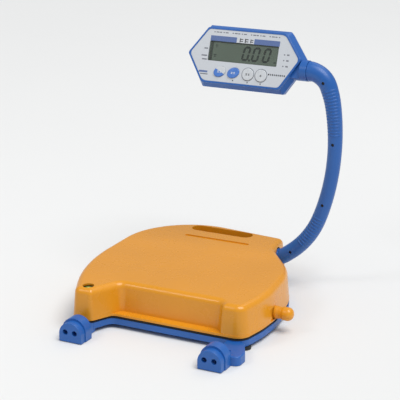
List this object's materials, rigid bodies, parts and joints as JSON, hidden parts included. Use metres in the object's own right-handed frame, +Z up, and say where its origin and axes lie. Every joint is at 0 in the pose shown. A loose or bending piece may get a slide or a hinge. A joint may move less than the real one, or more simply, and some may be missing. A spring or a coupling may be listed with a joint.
{
  "type": "animal weighing scale",
  "caption": "Low shield-shaped weighing platform on a tray with front feet, and a tilting hexagonal display on a curved folding arm.",
  "frame": {"origin": "centre of the footprint, on the floor under the scale", "axes": "+X towards the arm, +Y towards the carry slot at the back, +Z up"},
  "size_m": [0.352, 0.4109, 0.4128],
  "materials": {
    "orange_plastic": "glossy moulded",
    "blue_plastic": "satin moulded",
    "plate_film": "printed film",
    "lcd_glass": "clear",
    "lcd_module": "grey-green",
    "circuit_board": "solder mask",
    "key_blue": "glossy",
    "key_white": "glossy",
    "black_rubber": "matt",
    "steel": "zinc plated",
    "aluminium": "machined",
    "brass": "turned",
    "bearing_plastic": "natural",
    "black_plastic": "matt",
    "battery_sleeve": "printed sleeve",
    "cable_sheath": "matt",
    "vial_liquid": "clear"
  },
  "bodies": {
    "base": {"base_tray": "blue_plastic", "dust_seal": "black_rubber", "foot_cap_left": "blue_plastic", "foot_cap_right": "blue_plastic", "foot_cap_screws": "steel", "level_vial": "black_plastic", "level_lens": "vial_liquid", "load_cell": "aluminium", "cell_lower_spacer": "aluminium", "cell_lower_screws": "steel", "overload_stops": "steel", "battery_box": "black_plastic", "battery_cells": "battery_sleeve", "battery_contacts": "steel", "hinge_bracket": "steel", "bracket_screws": "steel", "hinge_bush": "bearing_plastic", "cell_cable": "cable_sheath"},
    "platform": {"platform_cover": "orange_plastic", "arm_rest_knob": "orange_plastic", "knob_screw": "steel", "spider_plate": "steel", "support_pads": "black_rubber", "cell_upper_spacer": "aluminium"},
    "arm": {"arm_front_shell": "blue_plastic", "arm_rear_shell": "blue_plastic", "arm_screws": "steel", "arm_cable": "cable_sheath", "display_lead": "cable_sheath", "pivot_nut": "brass", "tilt_nut": "brass", "friction_washer": "steel"},
    "display": {"display_housing": "blue_plastic", "display_bezel": "blue_plastic", "face_plate": "plate_film", "lcd_window": "lcd_glass", "lcd_module": "lcd_module", "display_board": "circuit_board", "key_pads": "black_rubber", "housing_screws": "steel", "tilt_bush": "bearing_plastic"},
    "battery_door": {"battery_door": "blue_plastic"},
    "foot_front_right": {"foot_pad_front_right": "black_rubber", "foot_stud_front_right": "steel"},
    "foot_front_left": {"foot_pad_front_left": "black_rubber", "foot_stud_front_left": "steel"},
    "foot_rear_right": {"foot_pad_rear_right": "black_rubber", "foot_stud_rear_right": "steel"},
    "foot_rear_left": {"foot_pad_rear_left": "black_rubber", "foot_stud_rear_left": "steel"},
    "key_1": {"key_1": "key_blue"},
    "key_2": {"key_2": "key_blue"},
    "key_3": {"key_3": "key_white"},
    "key_4": {"key_4": "key_white"}
  },
  "joints": [
    {"name": "platform_press", "type": "slide", "parent": "base", "child": "platform", "axis": [0, 0, -1], "range_m": [0, 0.0008], "stiffness_N_per_m": 60000, "springref_m": -0.0005},
    {"name": "arm_fold", "type": "hinge", "parent": "base", "child": "arm", "pos_m": [0.068, 0.1575, 0.046], "axis": [1, 0, 0], "range_deg": [0, 88]},
    {"name": "display_tilt", "type": "hinge", "parent": "arm", "child": "display", "pos_m": [0.113, 0.1575, 0.35835], "axis": [1, 0, 0], "range_deg": [-15, 20]},
    {"name": "battery_door_hinge", "type": "hinge", "parent": "base", "child": "battery_door", "pos_m": [-0.005, -0.0484, 0.00775], "axis": [1, 0, 0], "range_deg": [0, 80]},
    {"name": "foot_front_right_screw", "type": "slide", "parent": "base", "child": "foot_front_right", "axis": [0, 0, -1], "range_m": [0, 0.005]},
    {"name": "foot_front_left_screw", "type": "slide", "parent": "base", "child": "foot_front_left", "axis": [0, 0, -1], "range_m": [0, 0.005]},
    {"name": "foot_rear_right_screw", "type": "slide", "parent": "base", "child": "foot_rear_right", "axis": [0, 0, -1], "range_m": [0, 0.005]},
    {"name": "foot_rear_left_screw", "type": "slide", "parent": "base", "child": "foot_rear_left", "axis": [0, 0, -1], "range_m": [0, 0.005]},
    {"name": "key_1_press", "type": "slide", "parent": "display", "child": "key_1", "axis": [0, 0.9397, -0.342], "range_m": [0, 0.0008], "stiffness_N_per_m": 800, "springref_m": -0.0004},
    {"name": "key_2_press", "type": "slide", "parent": "display", "child": "key_2", "axis": [0, 0.9397, -0.342], "range_m": [0, 0.0008], "stiffness_N_per_m": 800, "springref_m": -0.0004},
    {"name": "key_3_press", "type": "slide", "parent": "display", "child": "key_3", "axis": [0, 0.9397, -0.342], "range_m": [0, 0.0008], "stiffness_N_per_m": 800, "springref_m": -0.0004},
    {"name": "key_4_press", "type": "slide", "parent": "display", "child": "key_4", "axis": [0, 0.9397, -0.342], "range_m": [0, 0.0008], "stiffness_N_per_m": 800, "springref_m": -0.0004}
  ]
}
